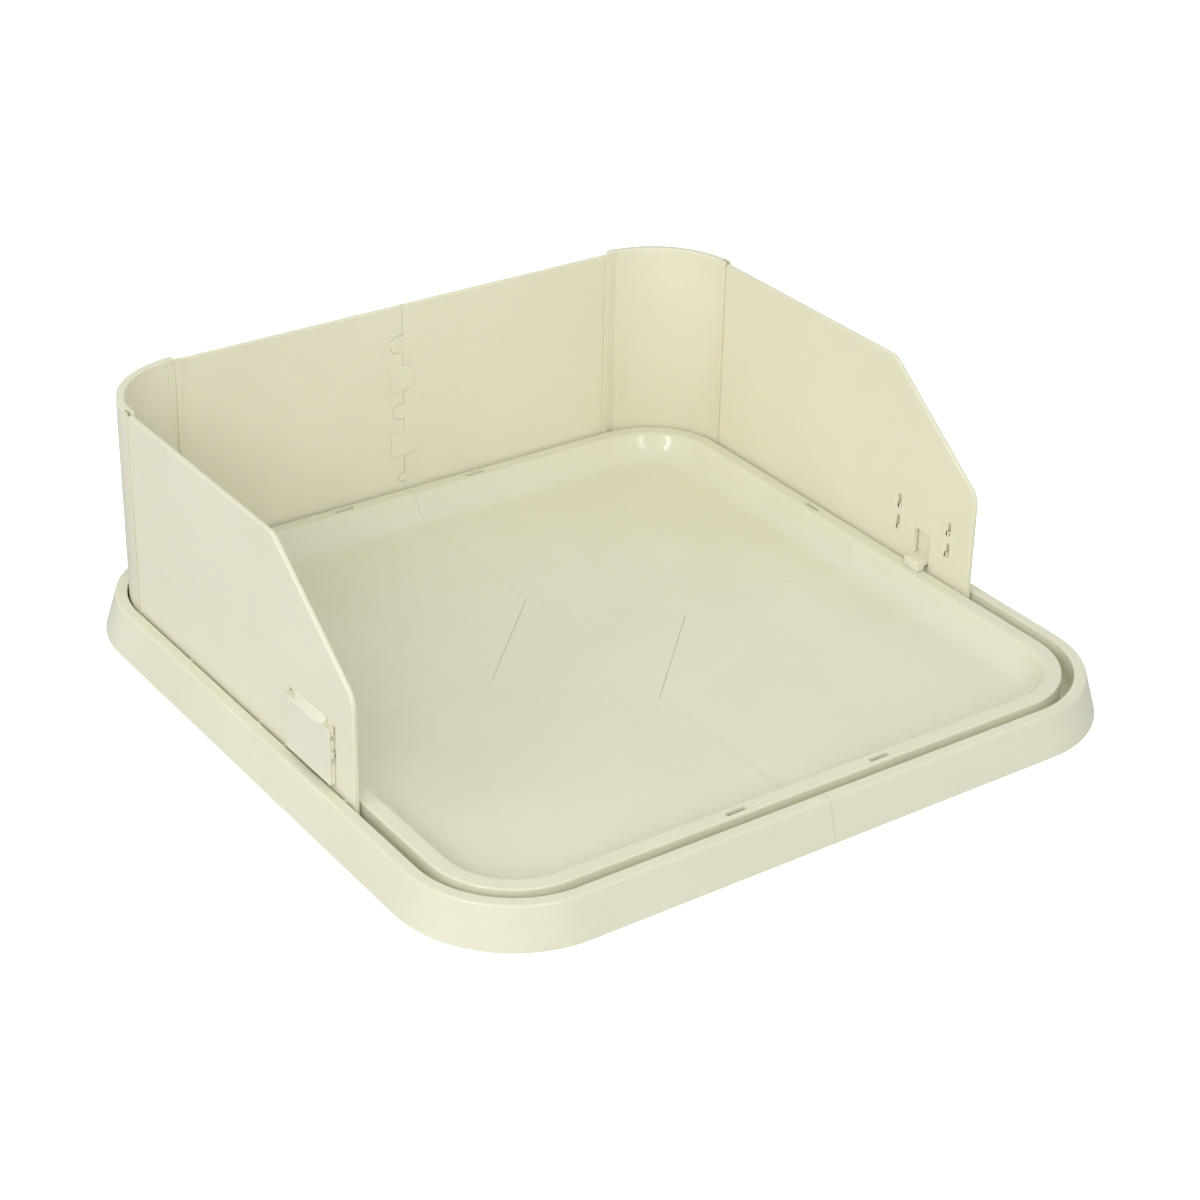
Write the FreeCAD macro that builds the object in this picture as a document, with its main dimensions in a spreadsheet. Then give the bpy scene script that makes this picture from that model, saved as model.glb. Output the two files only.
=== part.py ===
# Square pet toilet tray with a U-shaped splash wall, millimetres.
# Four like tray quarters are locked together by a square centre plate.  The wall stands in the
# groove round the rim: two back halves, two corner panels and two side panels that slide down
# into the corner panels, each side panel held at the front by a sliding latch.
# Frame: origin at the centre of the footprint on the ground, X right, Y back, Z up.
import FreeCAD, Part
import math
import os
import Sketcher
from FreeCAD import Placement, Rotation, Vector

doc = FreeCAD.newDocument("pet_toilet_tray")

# ---------------------------------------------------------------- driving dimensions
SIZES = [
    ("base_size", 680, "side of the square footprint"),
    ("base_high", 36, "height of the rim above the ground"),
    ("corner_bend", 108, "radius of the footprint's corners"),
    ("skirt_flare", 10.5, "how far the skirt leans out from top to ground"),
    ("ledge_wide", 10.5, "flat ledge outside the groove"),
    ("groove_wide", 10.2, "groove that the wall stands in"),
    ("rim_wide", 15.3, "flat inner rim"),
    ("slope_wide", 11.5, "run of the slope from the rim down to the floor"),
    ("floor_high", 13.5, "height of the floor and of the groove's bottom"),
    ("tray_wall", 2.5, "thickness of the tray's moulding"),
    ("tray_round", 1.8, "rounding of the rim's and the ledge's top edges"),
    ("seam_gap", 0.3, "gap between two pieces that meet edge to edge"),
    ("rib_pitch", 60, "spacing of the ribs under the floor"),
    ("rib_thick", 2, "thickness of a rib"),
    ("peg_bore", 3, "radius of the pegs that join two quarters"),
    ("peg_long", 5, "length of those pegs"),
    ("peg_near", 150, "first peg of a seam from the middle"),
    ("peg_far", 270, "second peg of a seam from the middle"),
    ("lock_reach", 102, "centre plate: from its middle to a corner"),
    ("shelf_wide", 14, "shelf under the centre plate, along the seam"),
    ("pin_bore", 3, "radius of the centre plate's pins"),
    ("pin_long", 8, "length of those pins"),
    ("pin_clear", 0.15, "radial clearance of pegs and pins"),
    ("catch_at", 72, "rim slots: distance from the tray's mid-lines"),
    ("catch_long", 19.5, "length of a rim slot"),
    ("catch_wide", 4.8, "width of a rim slot"),
    ("catch_inset", 6.6, "middle of a rim slot from the groove's inner wall"),
    ("wall_high", 222.5, "top of the straight panels above the ground"),
    ("wall_thick", 4.6, "thickness of the straight panels"),
    ("wall_round", 1.4, "rounding of the panels' top edges"),
    ("foot_clear", 0.3, "clearance under the wall's foot"),
    ("cut_past", 1, "how far a cutting shape runs past the face that it starts from"),
    ("corner_rise", 2.5, "how far the corner panels stand above the others"),
    ("corner_proud", 1.1, "how far the corner panels' outer faces stand proud of the other panels"),
    ("corner_clear", 0.9, "gap between a corner panel and the groove's inner side"),
    ("tongue_thick", 2.6, "thickness of the tongues on the straight panels"),
    ("tongue_long", 8, "length of those tongues"),
    ("tongue_drop", 3, "tongue's top below the panel's top"),
    ("joint_clear", 0.3, "clearance round a tongue and at its end"),
    ("lip_long", 5.5, "corner panel's lip over the back panel"),
    ("band_wide", 8, "sunk band beside the lip"),
    ("band_deep", 0.8, "depth of that band"),
    ("band_close", 2.2, "top of the band and of the back channel below the corner panel's top"),
    ("rib_wide", 1.2, "width of the thin ribs that centre the wall in its groove"),
    ("rib_clear", 0.25, "clearance between such a rib and the groove"),
    ("rib_drop", 1.5, "rib's top below the rim"),
    ("back_rib_at", 25, "back wall: first rib from the middle"),
    ("back_rib_pitch", 75, "back wall: spacing of its ribs"),
    ("side_rib_front", 50.4, "side panel: rib in front of the latch's middle"),
    ("side_rib_rear", 46.2, "side panel: rib behind the latch's middle"),
    ("side_rib_joint", 97.5, "side panel: last rib from its rear joint"),
    ("side_front", 135.5, "front edge of a side panel, forward of the middle"),
    ("slope_start", 16, "where a side panel's top starts to fall, forward of the middle"),
    ("front_high", 132, "height of a side panel at its front edge"),
    ("front_round", 20, "radius of the side panel's front top corner"),
    ("break_round", 16, "radius where the side panel's top starts to fall"),
    ("knob_low", 47.5, "lowest jigsaw knob above the ground"),
    ("knob_top", 38.5, "highest jigsaw knob below the wall's top"),
    ("knob_small", 4.4, "radius of the lowest knob"),
    ("knob_mid", 7.5, "radius of the middle knob"),
    ("knob_large", 8.75, "radius of the highest knob"),
    ("knob_share", 4.7, "knobs' centres beyond the seam"),
    ("clasp_low", 10.6, "radius of the lower clasp's round end"),
    ("clasp_high", 11.9, "radius of the upper clasp's round end"),
    ("clasp_back", 14, "clasp's straight end from the seam"),
    ("clasp_reach", 12.8, "clasp's round end beyond the seam"),
    ("clasp_thick", 1.2, "thickness of the clasps"),
    ("stud_bore", 3.5, "radius of the stud behind each clasp"),
    ("stud_long", 2.8, "length of that stud"),
    ("latch_wide", 70, "width of a latch"),
    ("latch_high", 50.6, "height of a latch's plate"),
    ("latch_low", 41, "bottom of the latch's plate above the ground, when locked"),
    ("latch_deep", 5, "how far the latch stands off the panel"),
    ("latch_wall", 2.2, "thickness of the latch's moulding"),
    ("latch_clear", 0.25, "running clearance of the latch on the panel"),
    ("latch_travel", 8, "how far the latch lifts to unlock"),
    ("grip_wide", 47, "width of the sloping finger grip on top of a latch"),
    ("grip_rise", 5.4, "grip's top above the latch's plate"),
    ("grip_edge", 0.9, "thickness of the grip's top edge"),
    ("leg_wide", 3, "width of the latch's legs"),
    ("leg_high", 4.5, "height of the latch's legs"),
    ("leg_low", 19.3, "lower legs above the plate's bottom"),
    ("leg_pitch", 21, "upper legs above the lower legs"),
    ("barb_reach", 1.2, "how far a leg's barb hooks over the panel"),
    ("barb_deep", 1.4, "thickness of the barb"),
    ("arm_wide", 19.5, "width of the latch's arm"),
    ("arm_high", 4.2, "height of the latch's arm"),
    ("hook_deep", 7.4, "thickness of the hook at the arm's end"),
    ("hook_clear", 0.3, "hook above the rim and round its slot, when locked"),
    ("tip_long", 3, "how far the hook's tip drops below the hook"),
    ("window_wide", 21, "width of the window that the arm passes"),
    ("window_high", 34.4, "height of that window above the rim"),
]

sheet = doc.addObject("Spreadsheet::Sheet", "Sizes")
for row, (alias, size, meaning) in enumerate(SIZES, start=1):
    sheet.set("A%d" % row, meaning)
    sheet.set("B%d" % row, str(size))
    sheet.setAlias("B%d" % row, alias)
doc.recompute()


def named(text):
    """Put the sheet's name before every alias in an expression."""
    words = text.replace("(", "( ").replace(")", " )").split()
    aliases = {alias for alias, size, meaning in SIZES}
    return " ".join("Sizes." + word if word in aliases else word for word in words)


# Distances from a mid-line outwards, and heights, that several pieces share.
HALF = named("( base_size / 2 )")
BEND = named("( %s - corner_bend )" % HALF)
SKIRT = named("( %s - skirt_flare )" % HALF)
GROOVE_OUT = named("( %s - ledge_wide )" % SKIRT)
GROOVE_IN = named("( %s - groove_wide )" % GROOVE_OUT)
RIM_IN = named("( %s - rim_wide )" % GROOVE_IN)
FLOOR_OUT = named("( %s - slope_wide )" % RIM_IN)
WALL_MID = named("( %s - groove_wide / 2 )" % GROOVE_OUT)
WALL_IN = named("( %s - wall_thick / 2 )" % WALL_MID)
WALL_OUT = named("( %s + wall_thick / 2 )" % WALL_MID)
CATCH = named("( %s - catch_inset )" % GROOVE_IN)
EDGE = named("( seam_gap / 2 )")
UNDER = named("( floor_high - tray_wall )")
FOOT = named("( floor_high + foot_clear )")
TALL = named("( wall_high - %s )" % FOOT)
PIN_AT = named("( ( lock_reach - shelf_wide / 2 ) / 2 )")
TONGUE = named("( %s - tongue_thick / 2 )" % WALL_MID)


def value(text):
    """Present value of an expression, as a plain number."""
    result = sheet.evalExpression(named(text))
    return float(getattr(result, "Value", result))


# ---------------------------------------------------------------- helpers
def box(name, size, low):
    """Part::Box from three sizes and its lowest corner, all expressions."""
    made = doc.addObject("Part::Box", name)
    for side, text in zip(("Length", "Width", "Height"), size):
        made.setExpression(side, named(text))
    for axis, text in zip("xyz", low):
        made.setExpression("Placement.Base." + axis, named(text))
    return made


def rod(name, radius, length, base, direction=Vector(0, 0, 1)):
    """Part::Cylinder from a radius, a length and the middle of its base, all expressions."""
    made = doc.addObject("Part::Cylinder", name)
    made.Placement.Rotation = Rotation(Vector(0, 0, 1), direction)
    made.setExpression("Radius", named(radius))
    made.setExpression("Height", named(length))
    for axis, text in zip("xyz", base):
        made.setExpression("Placement.Base." + axis, named(text))
    return made


def fuse(name, pieces):
    """One solid from several that overlap or touch."""
    made = doc.addObject("Part::MultiFuse", name)
    made.Shapes = pieces
    made.Refine = True
    return made


def cut(name, base, tools):
    """A solid with one or more others taken away."""
    made = doc.addObject("Part::Cut", name)
    made.Base = base
    made.Tool = tools[0] if len(tools) == 1 else fuse(name + "_tools", tools)
    made.Refine = True
    return made


def mirrored(name, source):
    """Mirror image of a piece in the plane X = 0."""
    made = doc.addObject("Part::Mirroring", name)
    made.Source = source
    made.Normal = Vector(1, 0, 0)
    return made


def part_fillet(name, base, radius, wanted):
    """Round the edges that wanted(edge) picks, no further than the alias radius."""
    doc.recompute()
    made = doc.addObject("Part::Fillet", name)
    made.Base = base
    size = value(radius)
    made.Edges = [(number, size, size) for number, edge in enumerate(base.Shape.Edges, start=1)
                  if wanted(edge)]
    return made


def body_fillet(body, name, radius, wanted):
    """PartDesign fillet on the edges of the body that wanted(edge) picks."""
    doc.recompute()
    base = body.Tip
    made = body.newObject("PartDesign::Fillet", name)
    made.Base = (base, ["Edge%d" % number
                        for number, edge in enumerate(base.Shape.Edges, start=1) if wanted(edge)])
    made.setExpression("Radius", named(radius))
    return made


def origin_item(body, role):
    """One of the body's own origin planes or axes."""
    return next(item for item in body.Origin.OriginFeatures if item.Role == role)


def new_sketch(body, name, plane, offset="0"):
    """Sketch on an origin plane, raised by an expression along the plane's normal."""
    made = body.newObject("Sketcher::SketchObject", name)
    made.AttachmentSupport = [(origin_item(body, plane), "")]
    made.MapMode = "FlatFace"
    made.setExpression("AttachmentOffset.Base.z", named(offset))
    return made


def pin_point(sketch, line, end, point):
    """Hold one point of the sketch at two expressions, or on an axis where one is 0."""
    for kind, text, axis in (("DistanceX", point[0], -2), ("DistanceY", point[1], -1)):
        if text == "0":
            sketch.addConstraint(Sketcher.Constraint("PointOnObject", line, end, axis))
        else:
            number = sketch.addConstraint(Sketcher.Constraint(kind, -1, 1, line, end, value(text)))
            sketch.setExpression("Constraints[%d]" % number, named(text))


def outline(sketch, points):
    """Closed polygon through points, each a pair of expressions."""
    spots = [Vector(value(across), value(up), 0) for across, up in points]
    first = sketch.GeometryCount
    count = len(points)
    for index in range(count):
        sketch.addGeometry(Part.LineSegment(spots[index], spots[(index + 1) % count]))
    for index in range(count):
        following = first + (index + 1) % count
        sketch.addConstraint(Sketcher.Constraint("Coincident", first + index, 2, following, 1))
        pin_point(sketch, first + index, 1, points[index])


def ring(sketch, radius, centre):
    """Full circle from expressions."""
    spot = Vector(value(centre[0]), value(centre[1]), 0)
    number = sketch.addGeometry(Part.Circle(spot, Vector(0, 0, 1), value(radius)))
    pin_point(sketch, number, 3, centre)
    constraint = sketch.addConstraint(Sketcher.Constraint("Radius", number, value(radius)))
    sketch.setExpression("Constraints[%d]" % constraint, named(radius))


def rectangle(sketch, low, high):
    """Rectangle between two corners given as expressions."""
    outline(sketch, [(low[0], low[1]), (high[0], low[1]), (high[0], high[1]), (low[0], high[1])])


def pad(body, sketch, length, back=False):
    """Pad along the sketch's normal, or against it."""
    made = body.newObject("PartDesign::Pad", sketch.Name + "_pad")
    made.Profile = sketch
    made.setExpression("Length", named(length))
    made.Reversed = back
    return made


def pocket(body, sketch, length, back=False):
    """Pocket against the sketch's normal, or along it; it must take material away."""
    doc.recompute()
    before = body.Tip.Shape.Volume
    made = body.newObject("PartDesign::Pocket", sketch.Name + "_pocket")
    made.Profile = sketch
    made.setExpression("Length", named(length))
    made.Reversed = back
    doc.recompute()
    if made.Shape.Volume > before - 1:
        raise RuntimeError("%s cuts nothing" % made.Name)
    return made


def corner_path(sketch, reach):
    """Open path at a distance from both mid-lines: straight, round the corner, straight."""
    far, turn, near = value(reach), value(BEND), value(EDGE)
    sketch.addGeometry(Part.LineSegment(Vector(far, near, 0), Vector(far, turn, 0)))
    bend = Part.Circle(Vector(turn, turn, 0), Vector(0, 0, 1), far - turn)
    sketch.addGeometry(Part.ArcOfCircle(bend, 0, math.pi / 2))
    sketch.addGeometry(Part.LineSegment(Vector(turn, far, 0), Vector(near, far, 0)))
    pin_point(sketch, 0, 1, (reach, EDGE))
    pin_point(sketch, 0, 2, (reach, BEND))
    sketch.addConstraint(Sketcher.Constraint("Coincident", 0, 2, 1, 1))
    sketch.addConstraint(Sketcher.Constraint("Coincident", 1, 2, 2, 1))
    pin_point(sketch, 2, 1, (BEND, reach))
    pin_point(sketch, 2, 2, (EDGE, reach))
    number = sketch.addConstraint(Sketcher.Constraint("DistanceX", -1, 1, 1, 3, turn))
    sketch.setExpression("Constraints[%d]" % number, BEND)


# ---------------------------------------------------------------- tray
# Upper line of the rim's cross-section, from the floor out to the ground.
RIM_TOP = [
    (FLOOR_OUT, "floor_high"),
    (RIM_IN, "base_high"),
    (GROOVE_IN, "base_high"),
    (GROOVE_IN, "floor_high"),
    (GROOVE_OUT, "floor_high"),
    (GROOVE_OUT, "base_high"),
    (SKIRT, "base_high"),
    (HALF, "0"),
]
# The same line one moulding thickness inside, back to the floor.
RIM_UNDER = [
    (HALF + " - tray_wall", "0"),
    (SKIRT + " - tray_wall", "base_high - tray_wall"),
    (GROOVE_OUT + " + tray_wall", "base_high - tray_wall"),
    (GROOVE_OUT + " + tray_wall", UNDER),
    (GROOVE_IN + " - tray_wall", UNDER),
    (GROOVE_IN + " - tray_wall", "base_high - tray_wall"),
    (RIM_IN + " + tray_wall / 2", "base_high - tray_wall"),
    (FLOOR_OUT + " + tray_wall / 2", UNDER),
]


def at_rim_top(edge):
    """Edges that run along the top of the rim and of the ledge, away from the seams and slots."""
    box_of = edge.BoundBox
    level = value("base_high")
    flat = abs(box_of.ZMin - level) < 0.01 and abs(box_of.ZMax - level) < 0.01
    return flat and edge.Length > value("corner_bend") / 2


def tray_quarter(name, turn):
    """One quarter: floor, rim swept round its corner, seam webs, ribs, pegs, shelf and slots."""
    body = doc.addObject("PartDesign::Body", name)
    reach = FLOOR_OUT + " + tray_wall / 2"

    rim = new_sketch(body, name + "_rim", "XZ_Plane", "-1 * " + EDGE)
    outline(rim, RIM_TOP + RIM_UNDER)
    path = new_sketch(body, name + "_path", "XY_Plane")
    corner_path(path, WALL_MID)
    doc.recompute()
    pipe = body.newObject("PartDesign::AdditivePipe", name + "_rim_pipe")
    pipe.Profile = rim
    pipe.Spine = path
    doc.recompute()
    body_fillet(body, name + "_rim_round", "tray_round", at_rim_top)

    floor = new_sketch(body, name + "_floor", "XY_Plane", UNDER)
    side, turn_at, near = value(reach), value(BEND), value(EDGE)
    notch = named("lock_reach + seam_gap")
    outline_points = [(notch, EDGE), (reach, EDGE), (reach, BEND)]
    for first, second in zip(outline_points, outline_points[1:]):
        floor.addGeometry(Part.LineSegment(Vector(value(first[0]), value(first[1]), 0),
                                           Vector(value(second[0]), value(second[1]), 0)))
    bend = Part.Circle(Vector(turn_at, turn_at, 0), Vector(0, 0, 1), side - turn_at)
    floor.addGeometry(Part.ArcOfCircle(bend, 0, math.pi / 2))
    floor.addGeometry(Part.LineSegment(Vector(turn_at, side, 0), Vector(near, side, 0)))
    floor.addGeometry(Part.LineSegment(Vector(near, side, 0), Vector(near, value(notch), 0)))
    floor.addGeometry(Part.LineSegment(Vector(near, value(notch), 0), Vector(value(notch), near, 0)))
    for line in range(6):
        floor.addConstraint(Sketcher.Constraint("Coincident", line, 2, (line + 1) % 6, 1))
    spots = {0: (notch, EDGE), 1: (reach, EDGE), 2: (reach, BEND), 3: (BEND, reach),
             4: (EDGE, reach), 5: (EDGE, notch)}
    for line, spot in spots.items():
        pin_point(floor, line, 1, spot)
    number = floor.addConstraint(Sketcher.Constraint("DistanceX", -1, 1, 2, 3, turn_at))
    floor.setExpression("Constraints[%d]" % number, BEND)
    pad(body, floor, "tray_wall")

    # Webs that close both ends of the quarter and meet its neighbours' webs.
    web = [(EDGE, "0"), (HALF, "0")] + RIM_TOP[-2::-1] + [(FLOOR_OUT, UNDER), (EDGE, UNDER)]
    right_web = new_sketch(body, name + "_right_web", "XZ_Plane", "-1 * " + EDGE)
    outline(right_web, web)
    pad(body, right_web, "tray_wall", back=True)
    back_web = new_sketch(body, name + "_back_web", "YZ_Plane", EDGE)
    outline(back_web, web)
    pad(body, back_web, "tray_wall")

    # Crossed ribs under the floor.
    rib_count = "floor( %s / rib_pitch )" % FLOOR_OUT
    low, high = "rib_pitch - rib_thick / 2", "rib_pitch + rib_thick / 2"
    for role, corners in (("X_Axis", ((low, EDGE), (high, GROOVE_OUT))),
                          ("Y_Axis", ((EDGE, low), (GROOVE_OUT, high)))):
        rib = new_sketch(body, name + "_rib_" + role[0].lower(), "XY_Plane")
        rectangle(rib, *corners)
        rib_pad = pad(body, rib, UNDER)
        doc.recompute()
        pattern = body.newObject("PartDesign::LinearPattern", rib.Name + "_row")
        pattern.Originals = [rib_pad]
        pattern.Direction = (origin_item(body, role), [""])
        pattern.setExpression("Length", named("( %s - 1 ) * rib_pitch" % rib_count))
        pattern.setExpression("Occurrences", named(rib_count))
        body.Tip = pattern
        doc.recompute()

    # Shelf that carries one side of the centre plate, with a boss for its pin.
    shelf = new_sketch(body, name + "_shelf", "XY_Plane", UNDER + " - tray_wall")
    outline(shelf, [("lock_reach + tray_wall", EDGE), (EDGE, "lock_reach + tray_wall"),
                    (EDGE, "lock_reach - shelf_wide"), ("lock_reach - shelf_wide", EDGE)])
    pad(body, shelf, "tray_wall")
    boss = new_sketch(body, name + "_boss", "XY_Plane", "tray_wall")
    ring(boss, "pin_bore + tray_wall", (PIN_AT, PIN_AT))
    pad(body, boss, UNDER + " - tray_wall")
    pin_hole = new_sketch(body, name + "_pin_hole", "XY_Plane", UNDER)
    ring(pin_hole, "pin_bore + pin_clear", (PIN_AT, PIN_AT))
    pocket(body, pin_hole, UNDER)

    # Pegs on one web, holes for the neighbour's pegs in the other.
    for row, place in enumerate(("peg_near", "peg_far")):
        peg = new_sketch(body, name + "_peg_%d" % row, "XZ_Plane", "-1 * " + EDGE)
        ring(peg, "peg_bore", (place, UNDER + " / 2"))
        pad(body, peg, "peg_long")
        hole = new_sketch(body, name + "_hole_%d" % row, "YZ_Plane", EDGE)
        ring(hole, "peg_bore + pin_clear", (place, UNDER + " / 2"))
        pocket(body, hole, "tray_wall", back=True)

    # One slot in the rim on each side.
    slot = new_sketch(body, name + "_slots", "XY_Plane", "base_high")
    start, end = "catch_at - catch_long / 2", "catch_at + catch_long / 2"
    near_side, far_side = CATCH + " - catch_wide / 2", CATCH + " + catch_wide / 2"
    rectangle(slot, (near_side, start), (far_side, end))
    rectangle(slot, (start, near_side), (end, far_side))
    pocket(body, slot, "tray_wall")

    body.Placement = Placement(Vector(0, 0, 0), Rotation(Vector(0, 0, 1), turn))
    return body


quarters = [tray_quarter(name, 90 * step) for step, name in enumerate(
    ("back_right_tray", "back_left_tray", "front_left_tray", "front_right_tray"))]


# Square plate, flush with the floor and turned 45 degrees, with a pin into each quarter.
lock_board = box("lock_board", ("lock_reach * sqrt( 2 )", "lock_reach * sqrt( 2 )", "tray_wall"),
                 ("0", "-1 * lock_reach", UNDER))
lock_board.Placement.Rotation = Rotation(Vector(0, 0, 1), 45)
lock_pins = [rod("lock_pin_%d" % number, "pin_bore", "pin_long",
                 ("%d * %s" % (across, PIN_AT), "%d * %s" % (along, PIN_AT), UNDER + " - pin_long"))
             for number, (across, along) in enumerate(((1, 1), (-1, 1), (-1, -1), (1, -1)))]
lock_plate = fuse("centre_lock_plate", [lock_board] + lock_pins)


# ---------------------------------------------------------------- corner panels
def bow(name, radius, height, base):
    """Quarter cylinder about the corner's centre."""
    made = rod(name, radius, height, (BEND, BEND, base))
    made.Angle = 90
    return made


CORNER_IN = named("( %s + corner_clear - %s )" % (GROOVE_IN, BEND))
CORNER_OUT = named("( %s + corner_proud - %s )" % (WALL_OUT, BEND))
CORNER_TALL = named("( %s + corner_rise )" % TALL)
CHANNEL_WIDE = named("( tongue_thick + 2 * joint_clear )")
CHANNEL_LOW = named("( %s - joint_clear )" % TONGUE)

corner_ring = cut("corner_ring", bow("corner_outer", CORNER_OUT, CORNER_TALL, FOOT),
                  [bow("corner_inner", CORNER_IN, CORNER_TALL, FOOT)])
# The lip covers the back panel's edge on the inside.
LIP_THICK = named("( %s - %s - corner_clear - seam_gap / 2 )" % (WALL_IN, GROOVE_IN))
corner_lip = box("corner_lip", ("lip_long", LIP_THICK, CORNER_TALL),
                 (BEND + " - lip_long", "%s + %s" % (BEND, CORNER_IN), FOOT))
corner_channels = [
    box("side_channel", (CHANNEL_WIDE, "tongue_long + joint_clear", CORNER_TALL + " + 2 * cut_past"),
        (CHANNEL_LOW, BEND, FOOT + " - cut_past")),
    box("back_channel", ("tongue_long + joint_clear", CHANNEL_WIDE, CORNER_TALL + " + cut_past - band_close"),
        (BEND, CHANNEL_LOW, FOOT + " - cut_past")),
]
corner_band = box("corner_band",
                  ("band_wide", "band_deep + 2 * cut_past", CORNER_TALL + " + cut_past - band_close"),
                  (BEND + " - seam_gap", "%s + %s - 2 * cut_past" % (BEND, CORNER_IN),
                   FOOT + " - cut_past"))
corner_plain = cut("corner_plain", fuse("corner_with_lip", [corner_ring, corner_lip]),
                   corner_channels + [corner_band])
corner_top = "%s + %s" % (FOOT, CORNER_TALL)
right_corner = part_fillet(
    "back_right_corner_panel", corner_plain, "wall_round",
    lambda edge: edge.BoundBox.ZMin > value(corner_top) - 0.01 and edge.Length > value("corner_bend")
    and abs(edge.Curve.Radius - value(CORNER_OUT)) < 0.1)
left_corner = mirrored("back_left_corner_panel", right_corner)

# ---------------------------------------------------------------- back panels
BACK_EDGE = named("( %s - seam_gap )" % BEND)
KNOB_STEP = named("( ( wall_high - knob_low - knob_top ) / 4 )")
KNOBS = [("knob_small", 0), ("knob_mid", 2), ("knob_large", 4)]
CLASPS = [("clasp_low", 1), ("clasp_high", 3)]
INTO_WALL = Vector(0, 1, 0)


def step_height(step):
    """Height of one step of the row of knobs and clasps."""
    return "knob_low + %d * %s" % (step, KNOB_STEP)


def groove_ribs(name, places, across):
    """Thin upright ribs on a straight panel's foot, both sides, that centre it in the groove."""
    long = "groove_wide - 2 * rib_clear"
    low = GROOVE_IN + " + rib_clear"
    tall = "base_high - rib_drop - " + FOOT
    ribs = []
    for number, place in enumerate(places):
        start = "%s - rib_wide / 2" % place
        if across == "x":
            ribs.append(box("%s_rib_%d" % (name, number), ("rib_wide", long, tall), (start, low, FOOT)))
        else:
            ribs.append(box("%s_rib_%d" % (name, number), (long, "rib_wide", tall), (low, start, FOOT)))
    return ribs


def back_half(name, sign):
    """Plain half of the back wall with its tongue and ribs; sign is 1 for right, -1 for left."""
    wide = BACK_EDGE + " - seam_gap / 2"
    tongue = "tongue_long + seam_gap"
    if sign > 0:
        starts = ("seam_gap / 2", BACK_EDGE)
    else:
        starts = ("-1 * " + BACK_EDGE, "-1 * %s - %s" % (BACK_EDGE, tongue))
    ribs = ["%d * ( back_rib_at + %d * back_rib_pitch )" % (sign, number) for number in range(3)]
    return [
        box(name + "_board", (wide, "wall_thick", TALL), (starts[0], WALL_IN, FOOT)),
        box(name + "_tongue", (tongue, "tongue_thick", TALL + " - tongue_drop"), (starts[1], TONGUE, FOOT)),
    ] + groove_ribs(name, ribs, "x")


right_knobs = [rod("knob_%d" % step, radius, "wall_thick",
                   ("-1 * knob_share * %s / knob_large" % radius, WALL_IN, step_height(step)), INTO_WALL)
               for radius, step in KNOBS]
stud_holes = [rod("stud_hole_%d" % step, "stud_bore + pin_clear", "stud_long + joint_clear",
                  ("clasp_reach - " + radius, WALL_IN, step_height(step)), INTO_WALL)
              for radius, step in CLASPS]
right_back = cut("back_right_panel", fuse("back_right_solid", back_half("back_right", 1) + right_knobs),
                 stud_holes)

knob_holes = [rod("knob_hole_%d" % step, radius + " + seam_gap / 2", "wall_thick",
                  ("-1 * knob_share * %s / knob_large" % radius, WALL_IN, step_height(step)), INTO_WALL)
              for radius, step in KNOBS]
left_solid = cut("back_left_solid", fuse("back_left_plain", back_half("back_left", -1)), knob_holes)
clasps = []
for radius, step in CLASPS:
    face = WALL_IN + " - clasp_thick"
    middle = "clasp_reach - " + radius
    clasps.append(box("clasp_%d" % step, (middle + " + clasp_back", "clasp_thick", "2 * " + radius),
                      ("-1 * clasp_back", face, "%s - %s" % (step_height(step), radius))))
    clasps.append(rod("clasp_end_%d" % step, radius, "clasp_thick", (middle, face, step_height(step)),
                      INTO_WALL))
    clasps.append(rod("clasp_stud_%d" % step, "stud_bore", "clasp_thick + stud_long",
                      (middle, face, step_height(step)), INTO_WALL))
left_back = fuse("back_left_panel", [left_solid] + clasps)

# ---------------------------------------------------------------- side panels
# Drawn from the panel's front foot, across towards the back and up.
side_panel = doc.addObject("PartDesign::Body", "right_side_panel")
SIDE_LONG = named("( %s + side_front )" % BACK_EDGE)
LATCH_MID = named("( side_front - catch_at )")
side_outline = new_sketch(side_panel, "side_outline", "YZ_Plane")
outline(side_outline, [("0", "0"), (SIDE_LONG, "0"), (SIDE_LONG, TALL),
                       ("side_front - slope_start", TALL), ("0", "front_high - " + FOOT)])
pad(side_panel, side_outline, "wall_thick")


def crosswise_at(across, height):
    """Picks the edge that runs through the panel's thickness at a point of its outline."""
    def wanted(edge):
        spot = edge.CenterOfMass
        return (edge.BoundBox.XLength > value("wall_thick") - 0.1
                and abs(spot.y - value(across)) < 0.1 and abs(spot.z - value(height)) < 0.1)
    return wanted


body_fillet(side_panel, "front_corner_round", "front_round", crosswise_at("0", "front_high - " + FOOT))
body_fillet(side_panel, "top_break_round", "break_round",
            crosswise_at("side_front - slope_start", TALL))

side_tongue = new_sketch(side_panel, "side_tongue", "XY_Plane")
rectangle(side_tongue, ("wall_thick / 2 - tongue_thick / 2", SIDE_LONG),
          ("wall_thick / 2 + tongue_thick / 2", SIDE_LONG + " + seam_gap + tongue_long"))
pad(side_panel, side_tongue, TALL + " - tongue_drop")

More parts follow.
